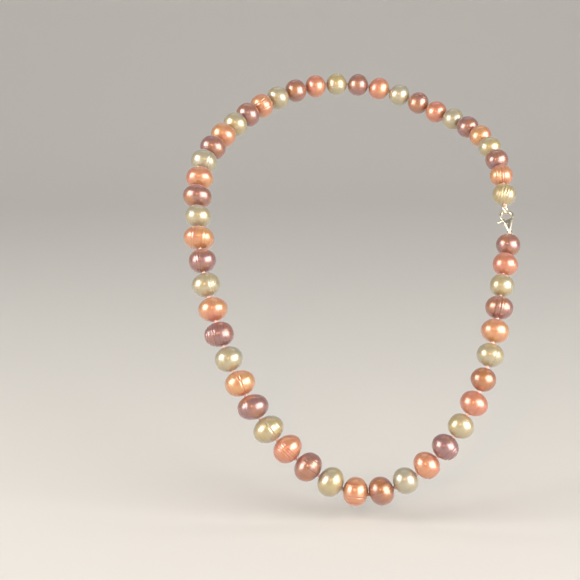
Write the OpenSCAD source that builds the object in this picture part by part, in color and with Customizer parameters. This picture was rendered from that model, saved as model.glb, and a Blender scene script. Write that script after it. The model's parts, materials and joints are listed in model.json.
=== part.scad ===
// Knotted single-strand pearl necklace, closed by a lobster-claw clasp.
// It has the shape that it takes when it is worn: the back of the strand bears on the
// nape, and both sides slope forward and down to the lowest pearls at the front.
// Millimetres, +Z up, the front of the necklace faces -Y. The origin is the point at the
// middle of the nape where the strand bears on the neck.

/* [Strand] */
// Number of pearls on the silk
pearl_count = 51; // [47:1:53]
// Width of the largest front pearls, across the drill hole
front_width = 11.2; // [10:0.1:12]
// Width of the smallest pearls at the nape, across the drill hole
nape_width = 9; // [8:0.1:9.6]
// How much longer than the nape pearls the front pearls are, as a share
front_growth = 0.08; // [0:0.02:0.2]
// Share by which single pearls are wider or narrower than the graded width
unevenness = 0.035; // [0:0.005:0.05]

/* [Silk and drill holes] */
// Diameter of the drill hole through each pearl
drill_d = 0.9; // [0.8:0.05:1.1]
// Diameter of the silk thread
silk_d = 0.6; // [0.4:0.05:0.65]
// Free distance between two pearls, which the knot fills
knot_gap = 1; // [0.9:0.05:1.4]
// Diameter of a knot
knot_d = 1.15; // [0.9:0.05:1.2]

/* [Clasp] */
// Length of the claw from its base eye to the top of its hook
claw_length = 12.2; // [11.8:0.1:13]
// Wire thickness of the hook
hook_d = 1.2; // [1:0.05:1.3]
// Thickness of the claw's body from front to back
body_thick = 2; // [1.8:0.05:2.4]
// Thickness of the lever
lever_thick = 0.9; // [0.7:0.05:1]
// Diameter of the rivet that the lever turns on
rivet_d = 0.8; // [0.6:0.05:0.9]
// Outer diameter of the jump ring
ring_od = 4.4; // [4.2:0.1:4.8]
// Wire thickness of the jump ring
ring_wire = 0.7; // [0.6:0.05:0.8]
// Turn of the jump ring out of the claw's plane, in degrees
ring_turn = 60; // [55:5:90]

/* [Hidden] */
$fn = 48;

// Running clearances
silk_play = 0.05;
lever_play = 0.03;
hook_play = 0.1;

// Colours: the pearls repeat mauve, orange and white along the strand
PEARL_COLOURS = [[0.62, 0.47, 0.44], [0.86, 0.54, 0.35], [0.82, 0.80, 0.68]];
silk_colour = [0.85, 0.55, 0.55];
metal_colour = [0.80, 0.79, 0.74];

// Claw, in its own plane: x across, y from the base eye to the hook, z towards the front
eye_wire = 0.7;
eye_r = 0.75;
eye_y = eye_wire / 2 + eye_r;
hook_r = 2.3;
hook_y = claw_length - hook_d / 2 - hook_r;
hook_from = -62;
hook_to = 182;
pivot_x = -0.6;
pivot_y = hook_y - 3.7;
gate_from = hook_to + 8;
gate_to = 232;
pocket_gap = lever_thick + 0.2;

// Jump ring and the two silk eyes that hold the metal
ring_r = (ring_od - ring_wire) / 2;
ring_y = claw_length - hook_d - hook_play - ring_wire / 2 + ring_r;
silk_eye_r = silk_play + (silk_d + ring_wire) / 2;
silk_eye_y = silk_eye_r - knot_gap / 4;

// The route: the silk leaves the claw's base, runs down the wearer's left side, round
// the front, up the other side, round the nape and back to the jump ring
CLASP_WAY = [-1, 10, 11] / norm([-1, 10, 11]);
clasp_reach = ring_y + ring_r - eye_wire / 2 + 2 * silk_eye_y;
ROUTE_START = [59, -70, -56];
ROUTE = [
    ROUTE_START,
    [55, -81, -67], [50, -96, -88], [42, -105, -112], [24.5, -108, -136],
    [0, -108, -147], [-27.5, -103, -131], [-45, -95, -108], [-56, -84, -80],
    [-61, -71, -56], [-62, -51, -34], [-53, -30, -19], [-36, -8, -7],
    [-15, 3, 0], [12, 4, -1], [37, -7, -11], [53, -28, -20], [58, -50, -33],
    ROUTE_START + clasp_reach * CLASP_WAY
];

// A smooth curve through the route's points, as short straight steps
STEPS = 12;
LAST = len(ROUTE) - 1;
function guide(k) =
    k < 0 ? 2 * ROUTE[0] - ROUTE[1] :
    k > LAST ? 2 * ROUTE[LAST] - ROUTE[LAST - 1] : ROUTE[k];
function blend(a, b, c, d, t) =
    b + t / 2 * ((c - a) + t * ((2 * a - 5 * b + 4 * c - d) + t * (3 * b - a - 3 * c + d)));
PATH = [
    for (k = [0 : LAST - 1], n = [0 : STEPS - 1])
        blend(guide(k - 1), guide(k), guide(k + 1), guide(k + 2), n / STEPS),
    ROUTE[LAST]
];

// Running length along the curve, and the point at a given length
function lengths(k = 0, sum = 0) =
    k == len(PATH) - 1 ? [sum] :
    concat([sum], lengths(k + 1, sum + norm(PATH[k + 1] - PATH[k])));
RUN = lengths();
function along(run, axis) = lookup(run, [for (k = [0 : len(RUN) - 1]) [RUN[k], PATH[k][axis]]]);
function point_at(run) = [along(run, 0), along(run, 1), along(run, 2)];

// Grading: 1 at the front of the strand and 0 at the nape
front_pearl = pearl_count * 0.36;
function grade(i) = 0.5 + 0.5 * cos(360 * (i - front_pearl) / pearl_count);

// Knot centres, spaced so that the pearls fill the curve from end to end
function share(i) = 1 + front_growth * pow(grade(i), 4);
function shares(i = 1, sum = 0) =
    i > pearl_count ? [sum] : concat([sum], shares(i + 1, sum + share(i)));
SHARES = shares();
KNOTS = [
    for (i = [0 : pearl_count]) point_at(RUN[len(RUN) - 1] * SHARES[i] / SHARES[pearl_count])
];

// One pearl: its drill axis runs from knot to knot
function pearl_axis(i) = KNOTS[i] - KNOTS[i - 1];
function pearl_centre(i) = (KNOTS[i] + KNOTS[i - 1]) / 2;
function pearl_length(i) = norm(pearl_axis(i)) - knot_gap;
function pearl_width(i) =
    max(
        pearl_length(i),
        (nape_width + (front_width - nape_width) * grade(i - 3)) * (1 + unevenness * sin(i * 137))
    );

function unit(v) = v / norm(v);

// The direction that the strand's outer side faces, for frames that follow the silk
OUTWARD = unit([0, -1, 1]);

// Node names
function two_digits(i) = str(i < 10 ? "0" : "", i);
function pearl_name(i) = str("pearl_", two_digits(i));

// Stands a child's z axis along a direction, at a point
module aim(point, way) {
    translate(point)
        rotate([0, acos(way.z / norm(way)), atan2(way.y, way.x)])
            children();
}

// Places a child drawn in the claw's plane: y runs up the claw, z faces the front
module in_claw_plane() {
    y = CLASP_WAY;
    z = unit([0, -1, 0] + y.y * y);
    x = cross(y, z);
    o = ROUTE_START + (silk_eye_y - eye_wire / 2) * y;
    multmatrix([
        [x.x, y.x, z.x, o.x],
        [x.y, y.y, z.y, o.y],
        [x.z, y.z, z.z, o.z],
        [0, 0, 0, 1]
    ])
        children();
}

// A round wire bent to part of a circle, lying in the xy plane
module wire_arc(r, d, from = 0, to = 360) {
    rotate([0, 0, from])
        rotate_extrude(angle = to - from)
            translate([r, 0])
                circle(d = d);
}

module pearl(i) {
    half = pearl_length(i) / 2;
    color(PEARL_COLOURS[(i - 1) % 3])
        aim(pearl_centre(i), pearl_axis(i))
            rotate_extrude()
                intersection() {
                    translate([pearl_width(i) / 2 - half, 0])
                        circle(half);
                    translate([drill_d / 2, -half])
                        square([pearl_width(i), 2 * half]);
                }
}

// The thread: one eight-sided tube with a ring of points at every knot
module thread() {
    sides = 8;
    last = len(KNOTS) - 1;
    points = [
        for (k = [0 : last])
            let (way = unit(KNOTS[min(k + 1, last)] - KNOTS[max(k - 1, 0)]))
            let (side = unit(cross(OUTWARD, way)))
            let (up = cross(way, side))
            for (n = [0 : sides - 1])
                KNOTS[k] + silk_d / 2 * (cos(360 * n / sides) * side + sin(360 * n / sides) * up)
    ];
    walls = [
        for (k = [0 : last - 1], n = [0 : sides - 1])
            let (m = (n + 1) % sides)
            [k * sides + n, (k + 1) * sides + n, (k + 1) * sides + m, k * sides + m]
    ];
    start_cap = [for (n = [0 : sides - 1]) n];
    end_cap = [for (n = [sides - 1 : -1 : 0]) last * sides + n];
    polyhedron(points, concat(walls, [start_cap, end_cap]), convexity = 4);
}

module silk_thread() {
    color(silk_colour) {
        thread();
        in_claw_plane() {
            // Silk eye through the claw's base eye
            translate([0, eye_wire / 2, 0])
                rotate([0, 90, 0])
                    wire_arc(silk_eye_r, silk_d);
            // Silk eye round the top of the jump ring
            translate([0, ring_y + ring_r, 0])
                rotate([0, ring_turn, 0])
                    rotate([0, 90, 0])
                        wire_arc(silk_eye_r, silk_d);
        }
    }
}

// The knots that part the pearls
module silk_knots() {
    color(silk_colour)
        for (k = [1 : len(KNOTS) - 2])
            translate(KNOTS[k])
                sphere(d = knot_d);
}

// The two cheeks and the spine, as a flat outline
module body_outline() {
    hull() {
        translate([0, 2 * eye_y])
            circle(0.75);
        translate([-1, pivot_y + 0.9])
            circle(1);
        translate([1.15, hook_y - 2])
            circle(1.25);
    }
}

module clasp_body() {
    color(metal_colour)
        in_claw_plane()
            difference() {
                union() {
                    translate([0, eye_y, 0])
                        wire_arc(eye_r, eye_wire);
                    translate([0, 0, -body_thick / 2])
                        linear_extrude(body_thick)
                            difference() {
                                body_outline();
                                translate([0, hook_y])
                                    circle(hook_r - hook_d / 2);
                            }
                    translate([0, hook_y, 0])
                        wire_arc(hook_r, hook_d, hook_from, hook_to);
                }
                // Pocket between the cheeks, open towards the gate and the thumb tab
                translate([-4, pivot_y - 2, -pocket_gap / 2])
                    cube([5.2, 4.4, pocket_gap]);
                translate([pivot_x, pivot_y, -body_thick])
                    cylinder(d = rivet_d, h = 2 * body_thick);
            }
}

// The gate, its arm, the thumb tab and the tail, as a flat outline
module lever_outline() {
    gate_end = [hook_r * cos(gate_to), hook_y + hook_r * sin(gate_to)];
    hull() {
        translate(gate_end)
            circle(0.45);
        translate([pivot_x, pivot_y])
            circle(0.8);
    }
    hull() {
        translate([pivot_x, pivot_y])
            circle(0.5);
        translate([pivot_x + 0.25, pivot_y - 1.3])
            circle(0.3);
    }
    hull() {
        translate(gate_end)
            circle(0.45);
        translate([-3.6, pivot_y + 1])
            circle(0.5);
    }
}

module clasp_lever() {
    color(metal_colour)
        in_claw_plane()
            difference() {
                union() {
                    translate([0, 0, -lever_thick / 2])
                        linear_extrude(lever_thick)
                            lever_outline();
                    translate([0, hook_y, 0])
                        wire_arc(hook_r, lever_thick, gate_from, gate_to);
                }
                translate([pivot_x, pivot_y, -lever_thick])
                    cylinder(d = rivet_d + 2 * lever_play, h = 2 * lever_thick);
            }
}

module clasp_rivet() {
    head = 0.15;
    color(metal_colour)
        in_claw_plane()
            translate([pivot_x, pivot_y, 0]) {
                cylinder(d = rivet_d, h = body_thick + head, center = true);
                for (side = [-1, 1])
                    translate([0, 0, side * (body_thick + head) / 2])
                        cylinder(d = rivet_d + 0.4, h = head, center = true);
            }
}

// A bow of spring wire in the pocket, which pushes the lever's arm back to the hook
module clasp_spring() {
    bow_r = 0.42;
    wire = 0.25;
    color(metal_colour)
        in_claw_plane()
            translate([1.2 - bow_r - wire / 2 - silk_play, pivot_y + 0.8, 0])
                wire_arc(bow_r, wire, -140, 140);
}

module clasp_ring() {
    seam = 2;
    color(metal_colour)
        in_claw_plane()
            translate([0, ring_y, 0])
                rotate([0, ring_turn, 0])
                    wire_arc(ring_r, ring_wire, seam / 2, 360 - seam / 2);
}

for (i = [1 : pearl_count])
    pearl(i);
silk_thread();
silk_knots();
clasp_body();
clasp_lever();
clasp_rivet();
clasp_spring();
clasp_ring();
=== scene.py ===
import json
import math
import random

import bpy
from mathutils import Matrix, Quaternion, Vector, noise


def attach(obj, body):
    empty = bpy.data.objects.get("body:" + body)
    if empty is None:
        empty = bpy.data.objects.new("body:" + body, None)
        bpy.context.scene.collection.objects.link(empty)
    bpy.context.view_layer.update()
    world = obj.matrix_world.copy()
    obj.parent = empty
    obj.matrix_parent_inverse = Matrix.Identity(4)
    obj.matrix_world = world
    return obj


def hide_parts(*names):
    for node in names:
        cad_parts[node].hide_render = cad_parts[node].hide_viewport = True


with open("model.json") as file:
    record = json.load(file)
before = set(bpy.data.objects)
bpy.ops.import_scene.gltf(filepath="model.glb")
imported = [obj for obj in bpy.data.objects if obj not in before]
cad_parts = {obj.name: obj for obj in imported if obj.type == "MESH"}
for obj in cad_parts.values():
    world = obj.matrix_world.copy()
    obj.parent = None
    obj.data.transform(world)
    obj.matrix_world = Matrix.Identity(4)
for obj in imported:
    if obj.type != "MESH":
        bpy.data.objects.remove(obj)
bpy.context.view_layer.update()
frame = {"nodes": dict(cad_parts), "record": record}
MM = 0.001

# ---------------------------------------------------------------- Camera
# It stands in front of the wearer at the height of the nape, a little to the wearer's
# right, and looks slightly down on the strand.
CAMERA_PLACE = Vector((-0.026, -0.557, 0.0096))
CAMERA_DOWN = math.radians(10.1)
camera_data = bpy.data.cameras.new("camera")
camera_data.lens = 79.0
camera_data.sensor_width = 36.0
camera_data.clip_start = 0.01
camera = bpy.data.objects.new("camera", camera_data)
camera.location = CAMERA_PLACE
camera.rotation_euler = (math.radians(90) - CAMERA_DOWN, 0, 0)
bpy.context.scene.collection.objects.link(camera)
bpy.context.scene.camera = camera

# ---------------------------------------------------------------- Silk route
# One length of silk bead cord runs through all the pearls. It leaves the claw's base eye,
# goes down one side, round the front, up and round the nape, and ends at the jump ring.
# There is a knot between each two pearls.
PEARLS = 51
CLAW_WAY = Vector((-1, 10, 11)).normalized()
CLAW_REACH = 14.8 * MM
ROUTE = [
    Vector(point) * MM
    for point in (
        (59, -70, -56), (55, -81, -67), (50, -96, -88), (42, -105, -112), (24.5, -108, -136),
        (0, -108, -147), (-27.5, -103, -131), (-45, -95, -108), (-56, -84, -80),
        (-61, -71, -56), (-62, -51, -34), (-53, -30, -19), (-36, -8, -7),
        (-15, 3, 0), (12, 4, -1), (37, -7, -11), (53, -28, -20), (58, -50, -33),
    )
]
ROUTE.append(ROUTE[0] + CLAW_WAY * CLAW_REACH)


def silk_curve(steps=12):
    """The smooth line through the route's points, as short straight steps."""
    guides = [2 * ROUTE[0] - ROUTE[1], *ROUTE, 2 * ROUTE[-1] - ROUTE[-2]]
    line = []
    for a, b, c, d in zip(guides, guides[1:], guides[2:], guides[3:]):
        for step in range(steps):
            t = step / steps
            bend = (2 * a - 5 * b + 4 * c - d) + t * (3 * b - a - 3 * c + d)
            line.append(b + t / 2 * ((c - a) + t * bend))
    return line + [ROUTE[-1]]


def grading(i):
    """1 at the front of the strand, 0 at the nape."""
    return 0.5 + 0.5 * math.cos(math.tau * (i - 0.36 * PEARLS) / PEARLS)


def knot_centres():
    """Where the strand bends: before the first pearl, between each two, after the last."""
    line = silk_curve()
    run = [0.0]
    for a, b in zip(line, line[1:]):
        run.append(run[-1] + (b - a).length)
    shares = [0.0]
    for i in range(1, PEARLS + 1):
        shares.append(shares[-1] + 1 + 0.08 * grading(i) ** 4)
    centres, k = [], 0
    for share in shares:
        goal = run[-1] * share / shares[-1]
        while k < len(run) - 2 and run[k + 1] < goal:
            k += 1
        centres.append(line[k].lerp(line[k + 1], (goal - run[k]) / (run[k + 1] - run[k])))
    return centres


KNOTS = knot_centres()
PEARL_GAP = 0.6 * MM


def body_of_pearl(i):
    """The body that pearl i belongs to, counted from the claw round."""
    name = f"pearl_{i:02d}"
    return next(b for b, nodes in frame["record"]["behaviour"]["bodies"].items() if name in nodes)


def new_piece(name, verts, faces, body):
    """A smooth mesh that rides on one body of the strand."""
    mesh = bpy.data.meshes.new(name)
    mesh.from_pydata(verts, [], faces)
    mesh.validate()
    mesh.polygons.foreach_set("use_smooth", [True] * len(mesh.polygons))
    piece = bpy.data.objects.new(name, mesh)
    bpy.context.scene.collection.objects.link(piece)
    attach(piece, body)
    return piece


# ---------------------------------------------------------------- Pearls
# Freshwater pearls, a little longer than they are thick and drilled across that length,
# so that they sit broadside on the silk. Growth rings run round some of them. The colours
# repeat mauve, orange and white. The nacre is grown in thin layers and only polished.
DRILL_R = 0.45 * MM
DIMPLE_R = 0.75 * MM
NAPE_WIDTH = 9.1 * MM
FRONT_EXTRA = 2.1 * MM
FRONT = Vector((0, -1, 0.18)).normalized()

# Pearls that differ from the grading: width as a share of it, and lean of the long axis
FORMS = {
    2: (1.03, 4), 3: (0.96, 0), 4: (1.09, 0), 5: (1.06, 0), 6: (1.03, 5), 7: (0.95, 0),
    8: (1.04, 3), 9: (0.94, 0), 12: (0.95, 0), 15: (1.04, -5), 16: (1.03, 0),
    17: (1.04, 2), 18: (1.06, 6), 19: (1.05, 15), 20: (1.03, 6), 21: (0.95, 0),
    24: (0.96, 0), 25: (0.95, 0), 26: (1.07, 14), 27: (0.93, 20), 28: (1.05, 13),
    51: (1.0, 20),
}

# Rings of single pearls: place along the pearl's own axis from -1 to 1, width, depth in mm
RINGS = {
    2: ((-0.62, 0.06, 0.12),),
    4: ((0.30, 0.06, 0.12), (0.06, 0.05, 0.07), (-0.14, 0.05, 0.06)),
    6: ((-0.24, 0.045, 0.24),),
    10: ((-0.46, 0.05, 0.12), (-0.68, 0.05, 0.26)),
    11: ((-0.70, 0.05, 0.26),),
    14: ((-0.28, 0.05, 0.16), (-0.44, 0.045, 0.14), (-0.62, 0.045, 0.10)),
    16: ((0.34, 0.05, 0.09), (0.50, 0.045, 0.09), (0.66, 0.045, 0.08)),
    17: ((-0.24, 0.045, 0.26), (-0.02, 0.045, 0.10), (0.12, 0.045, 0.08)),
    18: ((0.16, 0.045, 0.28), (0.62, 0.05, 0.16)),
    19: ((-0.35, 0.05, 0.06),),
    20: ((0.16, 0.045, 0.24),),
    22: ((-0.48, 0.05, 0.22), (-0.63, 0.045, 0.22), (-0.78, 0.04, 0.18), (-0.30, 0.045, 0.10)),
    24: ((0.34, 0.05, 0.10), (0.52, 0.05, 0.14), (0.68, 0.05, 0.10)),
    25: ((-0.30, 0.05, 0.10), (-0.10, 0.05, 0.08)),
    26: ((-0.34, 0.05, 0.20), (0.46, 0.05, 0.09)),
    30: ((0.35, 0.05, 0.12),),
    35: ((-0.2, 0.05, 0.14), (0.5, 0.045, 0.10)),
    39: ((0.3, 0.045, 0.14),),
    43: ((-0.5, 0.05, 0.12),),
    50: ((0.50, 0.05, 0.16), (0.24, 0.05, 0.14), (-0.04, 0.05, 0.10)),
    51: ((0.44, 0.05, 0.22), (0.16, 0.05, 0.26), (-0.10, 0.05, 0.24), (-0.34, 0.05, 0.18)),
}


def pearl_mesh(name, i, luck):
    """A drilled pearl: outer skin from one lip of the drill hole to the other, and its bore."""
    rings = RINGS.get(i, ())
    around, along = (240, 96) if rings else (72, 48)  # fine enough to carry the rings
    share, lean = FORMS.get(i, (1, luck.uniform(-8, 8)))
    lean = math.radians(lean)
    drill_way = (KNOTS[i] - KNOTS[i - 1]).normalized()
    centre = (KNOTS[i] + KNOTS[i - 1]) / 2
    half_length = ((KNOTS[i] - KNOTS[i - 1]).length - PEARL_GAP) / 2
    half_width = max(half_length * 1.02, (NAPE_WIDTH + FRONT_EXTRA * grading(i - 3)) * share / 2)
    side_way = drill_way.cross(FRONT).normalized()
    third = side_way.cross(drill_way)
    flat = luck.uniform(0.92, 0.98)
    taper = luck.uniform(-0.06, 0.06)
    full = luck.uniform(2.02, 2.14)
    seed = Vector((i * 3.1, i * 1.7, i * 0.9))
    # The short half axis that keeps the pearl's length along its drill hole when it leans
    short = math.cos(lean) / (
        half_length ** -full - (abs(math.sin(lean)) / half_width) ** full
    ) ** (1 / full)

    def skin(polar, turn):
        along_drill = math.cos(polar)
        across = math.sin(polar) * math.sin(turn)
        depth = math.sin(polar) * math.cos(turn)
        x = along_drill * math.cos(lean) + across * math.sin(lean)
        z = across * math.cos(lean) - along_drill * math.sin(lean)
        out = (
            abs(x / short) ** full
            + abs(depth / (half_width * flat)) ** full
            + abs(z / half_width) ** full
        ) ** (-1 / full)
        height = z * out / half_width
        there = Vector((x, depth, z))
        grow = 1 + 0.016 * noise.noise(there * 1.1 + seed)
        grow += 0.003 * noise.noise(there * 3.2 + seed)
        grow *= 1 + taper * height * (1 - abs(along_drill))
        cut = 0.0
        for place, wide, deep in rings:
            wander = 0.03 * noise.noise(Vector((x, depth, place * 7)) * 1.3 + seed)
            off = abs(height + wander - place) / wide
            fade = 0.6 + 0.5 * noise.noise(Vector((x, depth, place * 5)) * 1.1 + seed)
            cut += deep * MM * fade * (math.exp(-off * off) - 0.3 * math.exp(-((off - 2.2) ** 2)))
        reach = out * (grow - cut / half_width)
        return Vector((along_drill, depth, across)) * reach, height

    lip = math.asin(min(0.9, DIMPLE_R / half_width))
    verts, heights = [], []
    for row in range(along + 1):
        polar = lip + (math.pi - 2 * lip) * row / along
        for n in range(around):
            point, height = skin(polar, math.tau * n / around)
            verts.append(point)
            heights.append(height)
    # The bore: a rounded lip at each end, then a straight wall between them
    first = [v.copy() for v in verts[:around]]
    last = [v.copy() for v in verts[-around:]]
    for rim, inward in ((last, 1), (first, -1)):
        rim_x = sum(v.x for v in rim) / around
        steps = ((1.3, 0.07), (1.0, 0.25)) if inward == 1 else ((1.0, 0.25), (1.3, 0.07))
        for share, sink in steps:
            for n in range(around):
                turn = math.tau * n / around
                x = rim_x + inward * sink * MM
                verts.append(Vector((
                    x, DRILL_R * share * math.cos(turn), DRILL_R * share * math.sin(turn)
                )))
                heights.append(0.0)
    rows = along + 5
    faces = []
    for row in range(rows):
        nxt = (row + 1) % rows
        for n in range(around):
            m = (n + 1) % around
            faces.append((row * around + n, row * around + m, nxt * around + m, nxt * around + n))
    frame_of_pearl = Matrix((drill_way, third, side_way)).transposed()
    placed = [centre + frame_of_pearl @ v for v in verts]
    piece = new_piece(name, placed, faces, body_of_pearl(i))
    attribute = piece.data.attributes.new("growth", "FLOAT", "POINT")
    attribute.data.foreach_set("value", heights)
    return piece


def tint(red, green, blue):
    """A colour named in display values from 0 to 255, as the shader's linear values."""
    linear = [
        v / 12.92 if v <= 0.04045 else ((v + 0.055) / 1.055) ** 2.4
        for v in (red / 255, green / 255, blue / 255)
    ]
    return (*linear, 1.0)


# Body colour, overtone, blush and orient of each kind of pearl
NACRES = {
    "pearl_mauve": (
        tint(172, 112, 64), tint(140, 100, 98), tint(106, 62, 62), tint(206, 176, 214),
    ),
    "pearl_orange": (
        tint(200, 150, 98), tint(192, 121, 96), tint(178, 86, 64), tint(255, 190, 200),
    ),
    "pearl_white": (
        tint(178, 160, 112), tint(166, 160, 138), tint(166, 134, 100), tint(214, 226, 236),
    ),
}
# Where each pearl lies between its kind's two body colours, in tenths, from the claw round
TONES = "482304091" "979213274" "536857636" "248634526" "371648253" "532613"


def new_material(name):
    """A fresh material, with its node tree and its surface shader."""
    material = bpy.data.materials.new(name)
    material.use_nodes = True
    return material, material.node_tree, material.node_tree.nodes["Principled BSDF"]


def link(tree, out, into):
    tree.links.new(out, into)


def patches(tree, scale, detail):
    """Cloudy patches that stay put on the piece, from 0 to 1."""
    where = tree.nodes.new("ShaderNodeTexCoord")
    cloud = tree.nodes.new("ShaderNodeTexNoise")
    cloud.inputs["Scale"].default_value = scale
    cloud.inputs["Detail"].default_value = detail
    link(tree, where.outputs["Object"], cloud.inputs["Vector"])
    return cloud.outputs["Fac"]


def mapped(tree, value, from_low=0.0, from_high=1.0, to_low=0.0, to_high=1.0):
    """A value stretched from one range to another."""
    stretch = tree.nodes.new("ShaderNodeMapRange")
    stretch.inputs["From Min"].default_value = from_low
    stretch.inputs["From Max"].default_value = from_high
    stretch.inputs["To Min"].default_value = to_low
    stretch.inputs["To Max"].default_value = to_high
    link(tree, value, stretch.inputs["Value"])
    return stretch.outputs["Result"]


def blended(tree, factor, second):
    """A node that turns its A colour into a second colour where the factor is high."""
    mix = tree.nodes.new("ShaderNodeMix")
    mix.data_type = "RGBA"
    mix.inputs["B"].default_value = second
    link(tree, factor, mix.inputs["Factor"])
    return mix


def raised(tree, height, strength, distance):
    """A bump node driven by a height."""
    bump = tree.nodes.new("ShaderNodeBump")
    bump.inputs["Strength"].default_value = strength
    bump.inputs["Distance"].default_value = distance
    link(tree, height, bump.inputs["Height"])
    return bump


def nacre(name, kind, tone, luck, lined):
    """Layered nacre: cloudy body colour, a paler overtone, faint growth lines and a deep gloss."""
    material, tree, shader = new_material(name)
    first, second, blush, orient = NACRES[kind]
    body = Vector(first).lerp(Vector(second), max(0, tone - 0.25))
    overtone = Vector(first).lerp(Vector(second), min(1, tone + 0.5))
    clouds = mapped(tree, patches(tree, luck.uniform(110, 170), 2), 0.38, 0.62)
    two_tone = blended(tree, clouds, overtone)
    two_tone.inputs["A"].default_value = body

    # Growth lines: brightness and height change only along the pearl's own axis
    growth = tree.nodes.new("ShaderNodeAttribute")
    growth.attribute_name = "growth"
    shift = tree.nodes.new("ShaderNodeMath")
    shift.operation = "ADD"
    shift.inputs[1].default_value = luck.uniform(0, 50)
    link(tree, growth.outputs["Fac"], shift.inputs[0])
    lines = tree.nodes.new("ShaderNodeTexNoise")
    lines.noise_dimensions = "1D"
    lines.inputs["Scale"].default_value = 6.0
    lines.inputs["Detail"].default_value = 2
    link(tree, shift.outputs["Value"], lines.inputs["W"])
    line_share = mapped(tree, lines.outputs["Fac"], 0.52, 0.72, to_high=0.5 if lined else 0.3)
    banded = blended(tree, line_share, blush)
    link(tree, two_tone.outputs["Result"], banded.inputs["A"])
    link(tree, banded.outputs["Result"], shader.inputs["Base Color"])

    grain = patches(tree, 700, 1)
    gloss = mapped(tree, grain, to_low=0.34, to_high=0.42)
    link(tree, gloss, shader.inputs["Roughness"])
    line_bump = raised(tree, lines.outputs["Fac"], 0.2 if lined else 0.1, 0.2 * MM)
    grain_bump = raised(tree, grain, 0.08, 0.1 * MM)
    link(tree, line_bump.outputs["Normal"], grain_bump.inputs["Normal"])
    link(tree, grain_bump.outputs["Normal"], shader.inputs["Normal"])

    shader.inputs["Metallic"].default_value = 0.45
    shader.inputs["Specular IOR Level"].default_value = 0.8
    shader.inputs["Subsurface Weight"].default_value = 0.1
    shader.inputs["Subsurface Radius"].default_value = (1.0, 0.7, 0.5)
    shader.inputs["Subsurface Scale"].default_value = 1.2 * MM
    shader.inputs["Coat Weight"].default_value = 1.0
    shader.inputs["Coat IOR"].default_value = 1.75
    shader.inputs["Coat Roughness"].default_value = 0.23
    shader.inputs["Sheen Weight"].default_value = 0.45
    shader.inputs["Sheen Roughness"].default_value = 0.35
    shader.inputs["Sheen Tint"].default_value = orient
    return material


KINDS = ("pearl_mauve", "pearl_orange", "pearl_white")
for i in range(1, PEARLS + 1):
    node = f"pearl_{i:02d}"
    luck = random.Random(i)
    pearl = pearl_mesh(f"nacre_{i:02d}", i, luck)
    tone = int(TONES[i - 1]) / 9
    finish = nacre(f"nacre_{i:02d}", KINDS[(i - 1) % 3], tone, luck, len(RINGS.get(i, ())) > 2)
    pearl.data.materials.append(finish)
    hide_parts(node)

# ---------------------------------------------------------------- Silk
# Twisted pink silk, about 0.6 mm thick. Between each two pearls it is tied in an overhand
# knot, drawn up against the pearl with tweezers.
SILK_R = 0.3 * MM


def swept(path, radius, sides=8, closed=False):
    """A round tube along a path, as vertices and faces."""
    verts, faces = [], []
    count = len(path)
    side = None
    for k, point in enumerate(path):
        before = path[k - 1] if closed or k else path[k]
        after = path[(k + 1) % count] if closed or k < count - 1 else path[k]
        way = (after - before).normalized()
        if side is None:
            side = way.orthogonal().normalized()
        side = (side - side.dot(way) * way).normalized()
        up = way.cross(side)
        for n in range(sides):
            turn = math.tau * n / sides
            verts.append(point + radius * (math.cos(turn) * side + math.sin(turn) * up))
    for k in range(count if closed else count - 1):
        nxt = (k + 1) % count
        for n in range(sides):
            m = (n + 1) % sides
            faces.append((k * sides + n, k * sides + m, nxt * sides + m, nxt * sides + n))
    if not closed:
        faces.append(tuple(reversed(range(sides))))
        faces.append(tuple(range((count - 1) * sides, count * sides)))
    return verts, faces


def overhand_knot(centre, way, luck):
    """The crossing turns of one tight knot, as a trefoil of silk round the strand."""
    side = way.orthogonal().normalized()
    side.rotate(Quaternion(way, luck.uniform(0, math.tau)))
    up = way.cross(side)
    reach, depth, cord = 0.17 * MM, 0.22 * MM, 0.27 * MM
    path = []
    for step in range(48):
        t = math.tau * step / 48
        x = reach * (math.sin(t) + 2 * math.sin(2 * t))
        y = reach * (math.cos(t) - 2 * math.cos(2 * t))
        path.append(centre + x * side + y * up - depth * math.sin(3 * t) * way)
    return swept(path, cord, closed=True)


def gathered(parts):
    """Several meshes as one."""
    verts, faces = [], []
    for some_verts, some_faces in parts:
        start = len(verts)
        verts.extend(some_verts)
        faces.extend(tuple(start + n for n in face) for face in some_faces)
    return verts, faces


def silk_cord():
    """Pink silk with the light and dark of its twist painted into its colour as random pale
    patches, the same patches also raising bumps for the twist.
    """
    material, tree, shader = new_material("silk_cord")
    twist_bump_and_painted_light = patches(tree, 4200, 3)
    # Painted highlight and shade: near-white patches mixed into the pink stand for the light and
    # dark of the twist
    shades = blended(tree, twist_bump_and_painted_light, tint(254, 232, 222))
    shades.inputs["A"].default_value = tint(238, 186, 172)
    link(tree, shades.outputs["Result"], shader.inputs["Base Color"])
    twist = raised(tree, twist_bump_and_painted_light, 0.5, 0.06 * MM)
    link(tree, twist.outputs["Normal"], shader.inputs["Normal"])
    shader.inputs["Roughness"].default_value = 0.42
    shader.inputs["Sheen Weight"].default_value = 0.5
    shader.inputs["Sheen Tint"].default_value = tint(255, 220, 214)
    shader.inputs["Subsurface Weight"].default_value = 0.2
    shader.inputs["Subsurface Scale"].default_value = 0.4 * MM
    return material


silk_material = silk_cord()
silk_parts = {}
for i in range(1, PEARLS + 1):
    body = body_of_pearl(i)
    silk_parts.setdefault(body, []).append(swept([KNOTS[i - 1], KNOTS[i]], SILK_R))
    if i < PEARLS:
        way = (KNOTS[i + 1] - KNOTS[i - 1]).normalized()
        knot = overhand_knot(KNOTS[i], way, random.Random(500 + i))
        silk_parts[body].append(knot)

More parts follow.
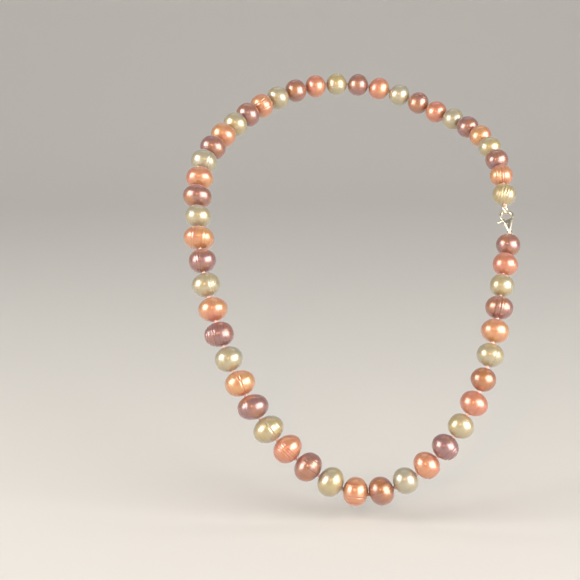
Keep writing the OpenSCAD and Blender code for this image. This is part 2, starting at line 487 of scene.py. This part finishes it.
# The claw's own frame: x across it, y up it from the base eye, z to its front, in mm
CLAW_FRONT = (Vector((0, -1, 0)) + CLAW_WAY.y * CLAW_WAY).normalized()
CLAW_FRAME = Matrix((
    CLAW_WAY.cross(CLAW_FRONT) * MM, CLAW_WAY * MM, CLAW_FRONT * MM
)).transposed().to_4x4()
CLAW_FRAME.translation = ROUTE[0] + 0.10 * MM * CLAW_WAY
RING_TURN = math.radians(60)
SILK_EYE_R = 0.7
BASE_EYE_BAR, RING_FAR_SIDE = 0.35, 14.25


def silk_eye(height, turn):
    """A loop of the silk round the metal, at a height on the claw, turned about the claw."""
    path = []
    for step in range(32):
        t = math.tau * step / 32
        out = Vector((0, height + SILK_EYE_R * math.cos(t), SILK_EYE_R * math.sin(t)))
        out.rotate(Quaternion((0, 1, 0), turn))
        path.append(CLAW_FRAME @ out)
    return swept(path, SILK_R, closed=True)


silk_parts[body_of_pearl(1)].append(silk_eye(BASE_EYE_BAR, 0))
silk_parts["clasp_ring"] = [silk_eye(RING_FAR_SIDE, RING_TURN)]
for body, parts in silk_parts.items():
    silk = new_piece(f"silk_on_{body}", *gathered(parts), body)
    silk.data.materials.append(silk_material)
    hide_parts("silk_thread", "silk_knots")

# ---------------------------------------------------------------- Rivet, spring and ring
# Small parts of drawn silver wire, slightly warm where they are worn. The rivet is the
# lever's pivot, the bow spring in the pocket closes the lever, and the jump ring is tied
# to the end of the silk.


def silver():
    """Silver with patches of brighter and duller wear."""
    material, tree, shader = new_material("silver")
    wear = patches(tree, 700, 4)
    shades = blended(tree, wear, tint(246, 240, 226))
    shades.inputs["A"].default_value = tint(222, 208, 180)
    link(tree, shades.outputs["Result"], shader.inputs["Base Color"])
    link(tree, mapped(tree, wear, to_low=0.22, to_high=0.42), shader.inputs["Roughness"])
    shader.inputs["Metallic"].default_value = 1.0
    return material


silver_material = silver()
for node in ("clasp_rivet", "clasp_spring", "clasp_ring"):
    metal = frame["nodes"][node]
    metal.data.materials.clear()
    metal.data.materials.append(silver_material)

# ---------------------------------------------------------------- Claw
# The claw is cast in silver and tumbled until its inner corners are soft. A pocket is
# then cut through one side for the lever and its spring. Sizes are in mm in the claw's
# own frame.
HOOK_R, HOOK_Y, HOOK_WIRE = 2.3, 9.3, 1.2
EYE_R, EYE_Y, EYE_WIRE = 0.75, 1.1, 0.7
POCKET_HALF = 0.54


def loft(sections, sides=40):
    """A rounded bar up the claw: each section is (across, up, half width, half thickness)."""
    fine = []
    last = len(sections) - 1
    for k in range(last):
        a, b, c, d = (Vector(sections[min(max(k + n, 0), last)]) for n in (-1, 0, 1, 2))
        for step in range(6):
            s = step / 6
            bend = (2 * a - 5 * b + 4 * c - d) + s * (3 * b - a - 3 * c + d)
            fine.append(b + s / 2 * ((c - a) + s * bend))
    fine.append(Vector(sections[-1]))
    verts = []
    for across, up, half_width, half_thick in fine:
        for n in range(sides):
            turn = math.tau * n / sides
            c, s = math.cos(turn), math.sin(turn)
            squared = (abs(c) ** 2.4 + abs(s) ** 2.4) ** (-1 / 2.4)
            verts.append(Vector((across + half_width * squared * c, up, half_thick * squared * s)))
    faces = []
    for low in range(0, (len(fine) - 1) * sides, sides):
        high = low + sides
        for n in range(sides):
            m = (n + 1) % sides
            faces.append((low + n, high + n, high + m, low + m))
    faces.append(tuple(range(sides)))
    faces.append(tuple(reversed(range((len(fine) - 1) * sides, len(fine) * sides))))
    return verts, faces


def arc(radius, height, first, last, wire, sides=16):
    """Round wire bent about a point of the claw's middle line, from one angle to another."""
    count = max(8, int(abs(last - first) / 4))
    path = []
    for step in range(count + 1):
        t = math.radians(first + (last - first) * step / count)
        path.append(Vector((radius * math.cos(t), height + radius * math.sin(t), 0)))
    return swept(path, wire / 2, sides)


def block(low, high):
    """A square cutter between two corners."""
    verts = [
        Vector((x, y, z))
        for x in (low[0], high[0]) for y in (low[1], high[1]) for z in (low[2], high[2])
    ]
    return verts, [
        (0, 1, 3, 2), (4, 6, 7, 5), (0, 4, 5, 1), (2, 3, 7, 6), (0, 2, 6, 4), (1, 5, 7, 3),
    ]


def cast_piece(name, node, body, parts, cuts=()):
    """Parts of one casting, melted into one skin with soft inner corners, less the cuts."""
    made = []
    for some in (parts, *([cut] for cut in cuts)):
        verts, faces = gathered(some)
        mesh = bpy.data.meshes.new(name)
        mesh.from_pydata(verts, [], faces)
        made.append(bpy.data.objects.new(name, mesh))
        bpy.context.scene.collection.objects.link(made[-1])
    raw = made[0]

    def melt(voxel, rounds):
        remesh = raw.modifiers.new("melt", "REMESH")
        remesh.mode = "VOXEL"
        remesh.voxel_size = voxel
        smooth = raw.modifiers.new("tumble", "SMOOTH")
        smooth.factor = 0.5
        smooth.iterations = rounds

    melt(0.07, 6)
    for cutter in made[1:]:
        cut = raw.modifiers.new("cut", "BOOLEAN")
        cut.operation = "DIFFERENCE"
        cut.object = cutter
        cut.solver = "EXACT"
    melt(0.06, 3)
    bpy.context.view_layer.update()
    melted = raw.evaluated_get(bpy.context.evaluated_depsgraph_get())
    skin = bpy.data.meshes.new_from_object(melted)
    for extra in made:
        bpy.data.objects.remove(extra)
    skin.transform(CLAW_FRAME)
    skin.polygons.foreach_set("use_smooth", [True] * len(skin.polygons))
    skin.materials.clear()
    skin.materials.append(silver_material)
    piece = bpy.data.objects.new(name, skin)
    bpy.context.scene.collection.objects.link(piece)
    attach(piece, body)
    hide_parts(node)
    return piece


cast_piece(
    "claw_body",
    "clasp_body",
    "clasp_and_27",
    [
        loft((
            (0.0, 1.95, 0.45, 0.42), (0.0, 2.5, 0.80, 0.62), (0.02, 3.5, 1.12, 0.84),
            (0.05, 5.0, 1.58, 0.99), (0.12, 6.2, 2.00, 1.0), (0.40, 7.0, 1.98, 0.96),
            (1.00, 7.7, 1.38, 0.82), (1.45, 8.3, 0.86, 0.62),
        )),
        arc(HOOK_R, HOOK_Y, -62, 182, HOOK_WIRE),
        arc(EYE_R, EYE_Y, 0, 360, EYE_WIRE),
    ],
    cuts=[
        block((-4, 3.7, -POCKET_HALF), (0.4, 5.1, POCKET_HALF)),
        block((-4, 5.0, -POCKET_HALF), (1.1, 8.0, POCKET_HALF)),
    ],
)

# ---------------------------------------------------------------- Lever
# The lever is cast in silver too and turns on the rivet. Its bent wire is the gate that
# closes the hook. A flat arm joins the gate to the pivot and the tail, and a tab for the
# thumb stands out at the side.
GATE_WIRE = 0.88
LEVER_HALF = 0.44
PIVOT = (-0.6, 5.6)
SHOULDER = (-1.42, 7.49)


def bar(start, end, start_r, end_r, half_thick, sides=24):
    """A flat bar with round ends between two points of the claw's plane."""
    start, end = Vector((*start, 0)), Vector((*end, 0))
    way = (end - start).normalized()
    side = Vector((-way.y, way.x, 0))
    rims = 13
    verts = []
    for k in range(rims):
        t = math.pi * k / (rims - 1)
        middle, radius = (start, start_r) if k <= rims // 2 else (end, end_r)
        centre = middle - way * radius * math.cos(t)
        reach = radius * max(0.02, math.sin(t))
        for n in range(sides):
            turn = math.tau * n / sides
            c, s = math.cos(turn), math.sin(turn)
            squared = (abs(c) ** 3 + abs(s) ** 3) ** (-1 / 3)
            thick = min(half_thick, reach) * squared * s
            verts.append(centre + side * reach * squared * c + Vector((0, 0, thick)))
    faces = []
    for low in range(0, (rims - 1) * sides, sides):
        high = low + sides
        for n in range(sides):
            m = (n + 1) % sides
            faces.append((low + n, low + m, high + m, high + n))
    faces.append(tuple(reversed(range(sides))))
    faces.append(tuple(range((rims - 1) * sides, rims * sides)))
    return verts, faces


cast_piece(
    "claw_lever",
    "clasp_lever",
    "clasp_lever",
    [
        arc(HOOK_R, HOOK_Y, 190, 232, GATE_WIRE),
        bar(SHOULDER, PIVOT, 0.45, 0.78, LEVER_HALF),
        bar(PIVOT, (-0.35, 4.3), 0.5, 0.3, LEVER_HALF),
        bar(SHOULDER, (-3.6, 6.6), 0.42, 0.5, LEVER_HALF),
    ],
)

# ---------------------------------------------------------------- Studio
# The necklace hangs over a round sheet of pale paper that curves up into a wall all round.
# Two soft boxes light it from the sides, one washes the wall behind, and a small warm lamp
# stands by the camera.
FLOOR_Z = -0.158


def sweep_floor():
    """A round floor that bends up into a wall on every side."""
    flat, bend, top, around = 1.0, 1.4, 2.6, 96
    profile = [(flat * step / 4, FLOOR_Z) for step in range(1, 5)]
    for step in range(1, 17):
        turn = math.radians(90) * step / 16
        profile.append((flat + bend * math.sin(turn), FLOOR_Z + bend * (1 - math.cos(turn))))
    profile.append((flat + bend, top))
    verts = [(0, 0, FLOOR_Z)]
    for reach, height in profile:
        for n in range(around):
            turn = math.tau * n / around
            verts.append((reach * math.cos(turn), reach * math.sin(turn), height))
    faces = [(0, 1 + n, 1 + (n + 1) % around) for n in range(around)]
    for k in range(len(profile) - 1):
        low, high = 1 + k * around, 1 + (k + 1) * around
        for n in range(around):
            m = (n + 1) % around
            faces.append((low + n, high + n, high + m, low + m))
    mesh = bpy.data.meshes.new("floor")
    mesh.from_pydata(verts, [], faces)
    mesh.polygons.foreach_set("use_smooth", [True] * len(mesh.polygons))
    floor = bpy.data.objects.new("floor", mesh)
    bpy.context.scene.collection.objects.link(floor)
    material, _, paper = new_material("paper")
    paper.inputs["Base Color"].default_value = tint(214, 212, 208)
    paper.inputs["Roughness"].default_value = 0.9
    mesh.materials.append(material)


STRAND_MIDDLE = Vector((0.0, -0.07, -0.07))


def soft_box(name, place, size, power, colour=(1, 0.97, 0.93), aim=STRAND_MIDDLE):
    """A flat lamp that points at its aim."""
    light = bpy.data.lights.new(name, "AREA")
    light.shape = "RECTANGLE"
    light.size, light.size_y = size
    light.energy = power
    light.color = colour
    lamp = bpy.data.objects.new(name, light)
    lamp.location = place
    lamp.rotation_euler = (aim - place).to_track_quat("-Z", "Y").to_euler()
    bpy.context.scene.collection.objects.link(lamp)


sweep_floor()
soft_box("box_right", Vector((0.66, -0.65, 0.12)), (0.92, 0.86), 18.0)
soft_box("box_left", Vector((-0.77, -0.43, 0.23)), (0.60, 0.60), 8.8)
soft_box("backdrop_wash", Vector((0.0, 0.5, 1.3)), (1.2, 0.4), 9, aim=Vector((0, 2.2, 0.2)))
soft_box("lamp_by_camera", Vector((-0.14, -0.90, 0.26)), (0.06, 0.06), 1.0, (1, 0.55, 0.25))

world = bpy.data.worlds.new("studio")
world.use_nodes = True
sky = world.node_tree.nodes["Background"]
sky.inputs["Color"].default_value = (0.9, 0.95, 1.0, 1)
sky.inputs["Strength"].default_value = 0.2
bpy.context.scene.world = world
bpy.context.scene.view_settings.view_transform = "Standard"
